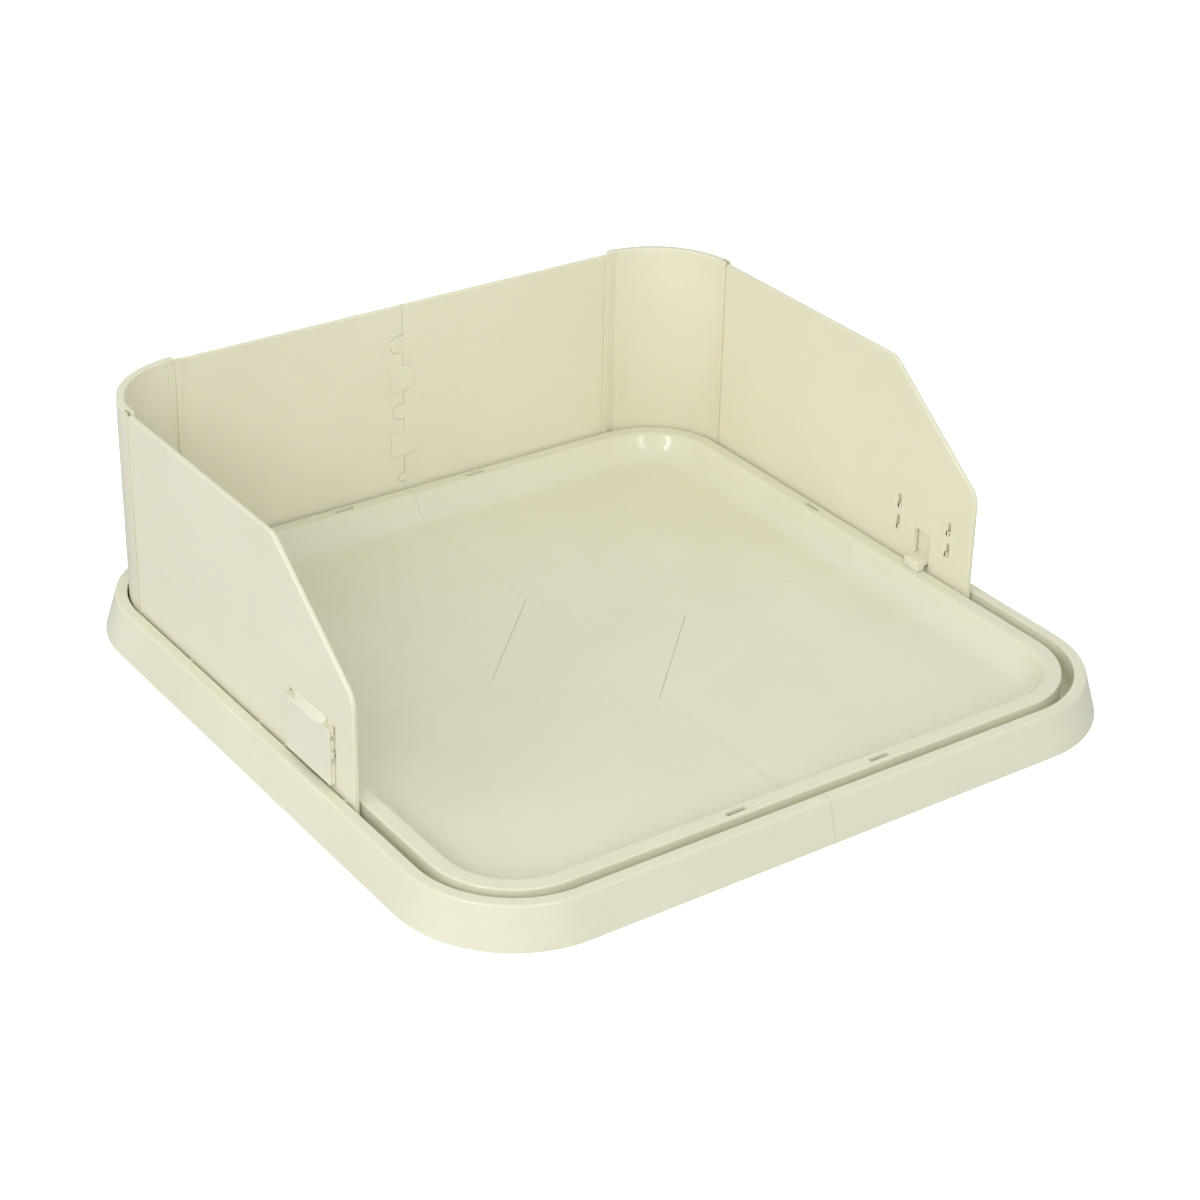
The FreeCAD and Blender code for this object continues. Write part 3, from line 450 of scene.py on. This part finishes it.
def corner_shell():
    """The right corner panel: its plan drawn up from foot to top, rounded most where it is thick.

    The top's rounding grows from end_round at the channels to WALL_ROUND over 6 mm of the bend.
    """
    band_top, foot_round, end_round = CORNER_TOP - BAND_DOWN, 0.3, 0.35
    plan, plain = corner_plan(BAND_DEEP, CHANNEL_DEEP), corner_plan(0, 0.1)
    from_end = np.minimum(np.abs(plan[:, 0]), np.abs(plan[:, 1]))
    radius = end_round + (WALL_ROUND - end_round) * np.clip((from_end - 9) / 6, 0, 1)
    rings = []
    for angle in np.linspace(0, math.pi / 2, 3):
        rings.append(np.column_stack([inset(plan, foot_round * (1 - math.sin(angle))),
                                      np.full(len(plan), FOOT + foot_round * (1 - math.cos(angle)))]))
    rings.append(np.column_stack([plan, np.full(len(plan), band_top - 0.5)]))
    rings.append(np.column_stack([plain, np.full(len(plain), band_top)]))
    for angle in np.linspace(0, math.pi / 2, 6):
        rings.append(np.column_stack([inset(plain, radius * (1 - math.cos(angle))),
                                      CORNER_TOP - radius * (1 - math.sin(angle))]))
    rings.append(np.column_stack([inset(plain, radius + 0.2), np.full(len(plain), CORNER_TOP)]))
    points, faces = skin_rings(rings)
    return points + (BEND, BEND, 0), faces


def mirrored(shells):
    """The same shells mirrored in the plane x = 0."""
    return [(points * (-1, 1, 1), faces) for points, faces in shells]


right_corner = [corner_shell()]
make_piece("back_right_corner_moulding", right_corner, wall_plastic, "back_wall",
           ["back_right_corner_panel"])
make_piece("back_left_corner_moulding", mirrored(right_corner), wall_plastic, "back_wall",
           ["back_left_corner_panel"])

# ------------------------------------------------------------------ back panels
# Two flat halves that meet in the middle like a jigsaw: round knobs on the right half press flush into
# the left one, and D-shaped clasps on the left half lap over the right one.  Thin upright ribs on the
# foot centre the panels in the groove, a tongue at each outer end slides into a corner panel, and a thin
# strip inside the middle seam keeps light from showing through it.
JOINT = BEND - 0.3
WALL_IN = WALL_MID - WALL / 2
KNOB_LOW, KNOB_TOP = 47.5, 38.5
KNOB_STEP = (WALL_TOP - KNOB_LOW - KNOB_TOP) / 4
KNOBS = [(4.4, 0), (7.5, 2), (8.75, 4)]     # radius, and step up from the lowest
KNOB_SHARE = 4.7 / 8.75                     # how far a knob's centre is in, as a share of its radius
CLASPS = [(10.6, 1), (11.9, 3)]
CLASP_REACH, CLASP_BACK, CLASP_THICK = 12.8, 14, 2
WALL_SEAM = 0.2
SEAL_FROM, SEAL_TO, SEAL_THICK, SEAL_LIFT, SEAL_DOWN = -16, 3, 0.8, 0.5, 2
UPRIGHT = [0, 2, 1]
TONGUE_DOWN = 3         # how far a tongue stops under the panel's top
FOOT_RIB, FOOT_RIB_CLEAR, FOOT_RIB_DOWN = 1.2, 0.25, 0.6
FIRST_RIB, RIB_STEP = 25, 75


def knob_edge(seam, grow):
    """The middle edge of a back half from foot to top: the seam line with a round knob at each step."""
    points = [(seam, FOOT)]
    for radius, step in KNOBS:
        height = KNOB_LOW + step * KNOB_STEP
        full, centre = radius + grow, -KNOB_SHARE * radius
        half_mouth = math.acos((seam - centre) / full)
        angles = np.linspace(-half_mouth, half_mouth - 2 * math.pi, 29)
        points += [(centre + full * math.cos(a), height + full * math.sin(a)) for a in angles]
    return np.array(points + [(seam, WALL_TOP)])


def polygon_area(loop):
    """Area of a closed outline, positive when it runs anticlockwise."""
    following = np.roll(loop, -1, axis=0)
    return (loop[:, 0] * following[:, 1] - following[:, 0] * loop[:, 1]).sum() / 2


def back_half(sign):
    """Shells of one back half; sign is 1 for the right half, -1 for the left."""
    edge = knob_edge(sign * WALL_SEAM, 0 if sign > 0 else 2 * WALL_SEAM)
    # Along the top the rounding starts and ends a little way in from the two upright edges.
    outer = [(JOINT, FOOT), (JOINT, WALL_TOP - 3), (JOINT, WALL_TOP), (JOINT - 3, WALL_TOP),
             (25, WALL_TOP), (3, WALL_TOP)]
    outline = np.concatenate([np.array(outer) * (sign, 1), edge[::-1]])
    if polygon_area(outline) < 0:
        outline = outline[::-1]
    from_seam = np.abs(outline[:, 0])
    at_top = (outline[:, 1] > WALL_TOP - 0.1) & (from_seam > 2) & (from_seam < JOINT - 1)
    radius = np.where(at_top, WALL_ROUND, 0.25)
    shells = [plate([(outline, radius)], WALL_IN, WALL_IN + WALL, UPRIGHT)]
    tongue = sorted((sign * (JOINT - 1), sign * (BEND + TONGUE_LONG)))
    shells.append(block((tongue[0], WALL_MID - TONGUE / 2, FOOT),
                        (tongue[1], WALL_MID + TONGUE / 2, WALL_TOP - TONGUE_DOWN)))
    for number in range(3):
        place = sign * (FIRST_RIB + RIB_STEP * number)
        shells.append(block((place - FOOT_RIB / 2, GROOVE_IN + FOOT_RIB_CLEAR, FOOT),
                            (place + FOOT_RIB / 2, GROOVE_OUT - FOOT_RIB_CLEAR, RIM - FOOT_RIB_DOWN), 0.2))
    return shells


def clasp_shells():
    """D-shaped laps, straight on the left half and half-round over the right, and the seam's strip."""
    shells = [block((SEAL_FROM, WALL_MID - SEAL_THICK / 2, FOOT + SEAL_LIFT),
                    (SEAL_TO, WALL_MID + SEAL_THICK / 2, WALL_TOP - SEAL_DOWN), 0.2)]
    for radius, step in CLASPS:
        height, middle = KNOB_LOW + step * KNOB_STEP, CLASP_REACH - radius
        angles = np.linspace(-math.pi / 2, math.pi / 2, 25)
        end = np.column_stack([middle + radius * np.cos(angles), height + radius * np.sin(angles)])
        outline = np.concatenate([[(-CLASP_BACK, height - radius)], end, [(-CLASP_BACK, height + radius)]])
        shells.append(plate([(outline, 0.8)], WALL_IN - CLASP_THICK, WALL_IN + 0.2, UPRIGHT))
    return shells


make_piece("back_right_moulding", back_half(1), wall_plastic, "back_wall", ["back_right_panel"])
make_piece("back_left_moulding", back_half(-1) + clasp_shells(), wall_plastic, "back_wall",
           ["back_left_panel"])

# ------------------------------------------------------------------ side panels
# A pair of straight side walls, level at the back and falling to a rounded corner at the front.  Each
# has a window and four small slots that carry the latch.
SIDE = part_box("right_side_panel")
FRONT = -SIDE[0].y / MM
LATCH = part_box("right_latch")
LATCH_AT = -(LATCH[0].y + LATCH[1].y) / 2 / MM
LATCH_WIDE = (LATCH[1].y - LATCH[0].y) / MM
SLOPE_START, FRONT_HIGH, FRONT_BEND, TOP_BEND = 16, 132, 20, 16
WINDOW_WIDE, WINDOW_HIGH = 21, 34.4
# The latch's foot and height, its lower legs' height over its foot, and the step to the upper legs.
LATCH_LOW, LATCH_HIGH, LEG_LOW, LEG_PITCH = 41, 50.6, 19.3, 21
LEG, LEG_HIGH, BARB, TRAVEL, RUN = 3, 4.5, 1.2, 8, 0.25
# Where the foot's ribs stand: two beside the latch, one near the middle and one nearer the corner.
SIDE_RIBS = (-LATCH_AT - 50.4, -LATCH_AT + 46.2, SLOPE_START, BEND - 97.5)


def hole(low, high, radius=0.5):
    """Clockwise rectangle with small corners."""
    return rounded([(low[0], low[1], radius), (low[0], high[1], radius),
                    (high[0], high[1], radius), (high[0], low[1], radius)], steps=3, support=0.15)


def side_shells():
    """The right side panel, drawn in its own plane as (along y, height), with its tongue and ribs."""
    outline = rounded([(-FRONT, FOOT, 0.6), (JOINT, FOOT, 0.6), (JOINT, WALL_TOP, 0.6),
                       (-SLOPE_START, WALL_TOP, TOP_BEND), (-FRONT, FRONT_HIGH, FRONT_BEND)], steps=12)
    radius = np.where((outline[:, 0] > JOINT - 1) | (outline[:, 1] < FOOT + 1), 0.3, WALL_ROUND)
    holes = [hole((-LATCH_AT - WINDOW_WIDE / 2, RIM), (-LATCH_AT + WINDOW_WIDE / 2, RIM + WINDOW_HIGH))]
    inner, outer = LATCH_WIDE / 2 - LEG - RUN, LATCH_WIDE / 2 + BARB
    for row in (0, 1):
        low = LATCH_LOW + LEG_LOW + row * LEG_PITCH
        for start, end in ((-outer, -inner), (inner, outer)):
            holes.append(hole((-LATCH_AT + start, low - RUN),
                              (-LATCH_AT + end, low + LEG_HIGH + TRAVEL + RUN)))
    loops = [(outline, radius)] + [(loop, 0.3) for loop in holes]
    shells = [plate(loops, WALL_IN, WALL_IN + WALL, [2, 0, 1])]
    shells.append(block((WALL_MID - TONGUE / 2, JOINT - 1, FOOT),
                        (WALL_MID + TONGUE / 2, BEND + TONGUE_LONG, WALL_TOP - TONGUE_DOWN)))
    for place in SIDE_RIBS:
        shells.append(block((GROOVE_IN + FOOT_RIB_CLEAR, place - FOOT_RIB / 2, FOOT),
                            (GROOVE_OUT - FOOT_RIB_CLEAR, place + FOOT_RIB / 2, RIM - FOOT_RIB_DOWN), 0.2))
    return shells


right_side = side_shells()
make_piece("right_side_moulding", right_side, wall_plastic, "right_side", ["right_side_panel"])
make_piece("left_side_moulding", mirrored(right_side), wall_plastic, "left_side", ["left_side_panel"])

# ------------------------------------------------------------------ latches
# Small clips snapped on the outside of the side panels: a shallow cup with a sloping finger grip on
# top, four barbed legs through the panel's slots, and an arm through the window that hooks into the rim.
LATCH_IN = WALL_IN + WALL + RUN
LATCH_FACE = LATCH[1].x / MM
LATCH_SKIN = 2.2
HOOK_START = LATCH[0].x / MM
HOOK_DEEP, ARM_WIDE, ARM_HIGH, ARM_CLEAR, TIP_LONG = 7.4, 19.5, 4.2, 0.3, 3
GRIP_WIDE, GRIP_EDGE, GRIP_SUNK, SCOOP_DEEP = 47, 0.9, 0.15, 4
GRIP_RISE = LATCH[1].z / MM - LATCH_LOW - LATCH_HIGH
NICK, NICK_SHARE, NICK_HIGH, NICK_SLOPE = 1.2, 0.6, 4, 1
LEG_PAST, BARB_THICK = 1.4, 1.4


def latch_shells():
    """The right latch: cup, grip, legs, arm, hook and tip, each a closed shell that runs into the next."""
    half, top = LATCH_WIDE / 2, LATCH_LOW + LATCH_HIGH
    # The cup's plate: a shallow nick in each side, and a scoop in the top for the finger.
    nick_low = LATCH_LOW + NICK_SHARE * LATCH_HIGH - NICK_HIGH / 2
    nick_top = LATCH_LOW + NICK_SHARE * LATCH_HIGH + NICK_HIGH / 2
    right_edge = [(half, LATCH_LOW, 1), (half, nick_low, 0.3), (half - NICK, nick_low + NICK_SLOPE, 0.3),
                  (half - NICK, nick_top - NICK_SLOPE, 0.3), (half, nick_top, 0.3), (half, top, 0.8)]
    left_edge = [(-y, z, r) for y, z, r in right_edge[::-1]]
    scoop = GRIP_WIDE / 2 - 1
    scooped = [(scoop * math.cos(a), top - SCOOP_DEEP * math.sin(a), 0) for a in np.linspace(0, math.pi, 17)]
    outline = rounded(right_edge + scooped + left_edge, steps=3, support=0.15) - (LATCH_AT, 0)
    shells = [plate([(outline, 0.5)], LATCH_FACE - LATCH_SKIN, LATCH_FACE, [2, 0, 1])]
    # The cup's side wall, and three pads that fill it behind the plate.
    inner_edge = inset(outline, LATCH_SKIN)[::-1]
    shells.append(plate([(outline, 0.3), (inner_edge, 0.2)], LATCH_IN, LATCH_FACE - LATCH_SKIN / 2,
                        [2, 0, 1], steps=2, support=0.1))
    for low, high in ((-half + 1, -half + 6), (-13, 13), (half - 6, half - 1)):
        shells.append(block((LATCH_IN + 0.6, low - LATCH_AT, LATCH_LOW + 2),
                            (LATCH_FACE - 1, high - LATCH_AT, top - 5), 0.3))
    # The grip's face leans back from the scoop in the plate's front up to a thin edge.
    foot, grip_top, grip_face = top - SCOOP_DEEP, top + GRIP_RISE, LATCH_FACE - GRIP_SUNK
    rise = np.linspace(0, 1, 9)
    face = np.column_stack([grip_face - (grip_face - LATCH_IN - GRIP_EDGE) * rise ** 0.8,
                            foot + (grip_top - 0.3 - foot) * rise])
    profile = np.concatenate([[(LATCH_IN, foot - 1), (grip_face, foot - 1)], face,
                              [(LATCH_IN + GRIP_EDGE - 0.3, grip_top), (LATCH_IN, grip_top)]])
    shells.append(plate([(profile, 0.2)], -LATCH_AT - GRIP_WIDE / 2, -LATCH_AT + GRIP_WIDE / 2, [0, 2, 1],
                        steps=2, support=0.1))
    # Four legs through the panel, each with a barb at its end.
    start = WALL_IN - RUN - LEG_PAST
    for row in (0, 1):
        low = LATCH_LOW + LEG_LOW + row * LEG_PITCH
        for sign in (-1, 1):
            leg = sorted((-LATCH_AT + sign * (half - LEG), -LATCH_AT + sign * half))
            shells.append(block((start, leg[0], low), (LATCH_FACE - 1, leg[1], low + LEG_HIGH), 0.25))
            barb = sorted((-LATCH_AT + sign * (half - LEG - BARB), -LATCH_AT + sign * (half - 1)))
            shells.append(block((start, barb[0], low), (start + BARB_THICK, barb[1], low + LEG_HIGH), 0.25))
    # The arm through the window, its hook over the rim and its tip in the rim's slot.
    arm = (-LATCH_AT - ARM_WIDE / 2, -LATCH_AT + ARM_WIDE / 2)
    hook_low = RIM + ARM_CLEAR
    hook = rounded([(HOOK_START, hook_low, 0.4), (HOOK_START + HOOK_DEEP, hook_low, 0.4),
                    (HOOK_START + HOOK_DEEP, LATCH_LOW, 1.2), (LATCH_FACE - 1, LATCH_LOW, 0.3),
                    (LATCH_FACE - 1, LATCH_LOW + ARM_HIGH, 0.3), (HOOK_START, LATCH_LOW + ARM_HIGH, 1.6)],
                   steps=4, support=0.15)
    shells.append(plate([(hook, 0.5)], arm[0], arm[1], [0, 2, 1], steps=3, support=0.15))
    tip = SLOT_WIDE - 4 * ARM_CLEAR
    tip_wide = SLOT_LONG / 2 - 2 * ARM_CLEAR
    shells.append(block((HOOK_START, -LATCH_AT - tip_wide, hook_low - TIP_LONG),
                        (HOOK_START + tip, -LATCH_AT + tip_wide, hook_low + 1), 0.4))
    return shells


latch_plastic = polypropylene("cream polypropylene, latch", "#e8e5d1", "#e5e2cc", gloss=0.3)
right_latch = latch_shells()
make_piece("right_latch_moulding", right_latch, latch_plastic, "right_latch", ["right_latch"])
make_piece("left_latch_moulding", mirrored(right_latch), latch_plastic, "left_latch", ["left_latch"])

# ------------------------------------------------------------------ studio
# A white paper sweep that only the camera sees, white walls all round that are darker below the
# horizon, two large lights that only spread light, and two narrow ones that only show as reflections.
scene = bpy.context.scene
scene.view_settings.view_transform = "Standard"
scene.view_settings.look = "None"
world = bpy.data.worlds.new("white studio")
scene.world = world
world.use_nodes = True
walls = world.node_tree
walls.nodes["Background"].inputs["Color"].default_value = (1.0, 1.0, 1.0, 1.0)
facing = node(walls, "ShaderNodeTexCoord").outputs["Generated"]
upwards = node(walls, "ShaderNodeSeparateXYZ", {}, Vector=facing).outputs["Z"]
glow = node(walls, "ShaderNodeMapRange", {"From Min": -0.2, "From Max": 0.1, "To Min": 0.61, "To Max": 0.70},
            Value=upwards).outputs["Result"]
walls.links.new(glow, walls.nodes["Background"].inputs["Strength"])

floor_mesh = bpy.data.meshes.new("studio_floor")
reach, below = 30.0, -0.5 * MM      # just under the tray's foot, so the two faces don't coincide
floor_mesh.from_pydata([(-reach, -reach, below), (reach, -reach, below), (reach, reach, below),
                        (-reach, reach, below)], [], [(0, 1, 2, 3)])
studio_floor = bpy.data.objects.new("studio_floor", floor_mesh)
scene.collection.objects.link(studio_floor)
paper = bpy.data.materials.new("white paper sweep")
paper.use_nodes = True
paper_shader = paper.node_tree.nodes["Principled BSDF"]
paper_shader.inputs["Base Color"].default_value = linear("#ffffff")
paper_shader.inputs["Roughness"].default_value = 0.9
paper_shader.inputs["Emission Color"].default_value = (1.0, 1.0, 1.0, 1.0)
paper_shader.inputs["Emission Strength"].default_value = 1.0
floor_mesh.materials.append(paper)
studio_floor.visible_diffuse = False
studio_floor.visible_glossy = False


def softbox(name, place, wide, high, power, reflects):
    """Rectangular area light facing the object; it either only reflects or only spreads light."""
    light = bpy.data.lights.new(name, "AREA")
    light.shape = "RECTANGLE"
    light.size, light.size_y = wide, high
    light.energy = power
    lamp = bpy.data.objects.new(name, light)
    lamp.location = place
    lamp.rotation_euler = (Vector((0, 0, 0.05)) - Vector(place)).to_track_quat("-Z", "Y").to_euler()
    lamp.visible_glossy = reflects
    lamp.visible_diffuse = not reflects
    scene.collection.objects.link(lamp)


softbox("large_left_softbox", (-3.0, 0.3, 1.6), 2.4, 2.0, 19, reflects=False)
softbox("large_front_softbox", (-2.2, -2.8, 2.2), 2.6, 2.0, 70, reflects=False)
softbox("left_strip", (-2.97, -1.2, 2.5), 0.5, 2.6, 34, reflects=True)
softbox("front_strip", (-0.45, -3.17, 2.5), 0.45, 2.6, 20, reflects=True)

# Long lens, looking down from the front left.
CAMERA_AT, LENS, SENSOR = (-1.19858, -1.70107, 1.22029), 82.79, 36
AZIMUTH, ELEVATION, ROLL = math.radians(-35.36), math.radians(29.14), math.radians(1.305)
back = Vector((math.sin(AZIMUTH) * math.cos(ELEVATION), -math.cos(AZIMUTH) * math.cos(ELEVATION),
               math.sin(ELEVATION)))
right = Vector((0, 0, 1)).cross(back).normalized()
up = back.cross(right)
camera_data = bpy.data.cameras.new("camera")
camera_data.lens = LENS
camera_data.sensor_width = SENSOR
camera = bpy.data.objects.new("camera", camera_data)
tilted_right = right * math.cos(ROLL) + up * math.sin(ROLL)
tilted_up = up * math.cos(ROLL) - right * math.sin(ROLL)
turn = Matrix((tilted_right, tilted_up, back)).transposed()
camera.matrix_world = Matrix.Translation(CAMERA_AT) @ turn.to_4x4()
scene.collection.objects.link(camera)
scene.camera = camera
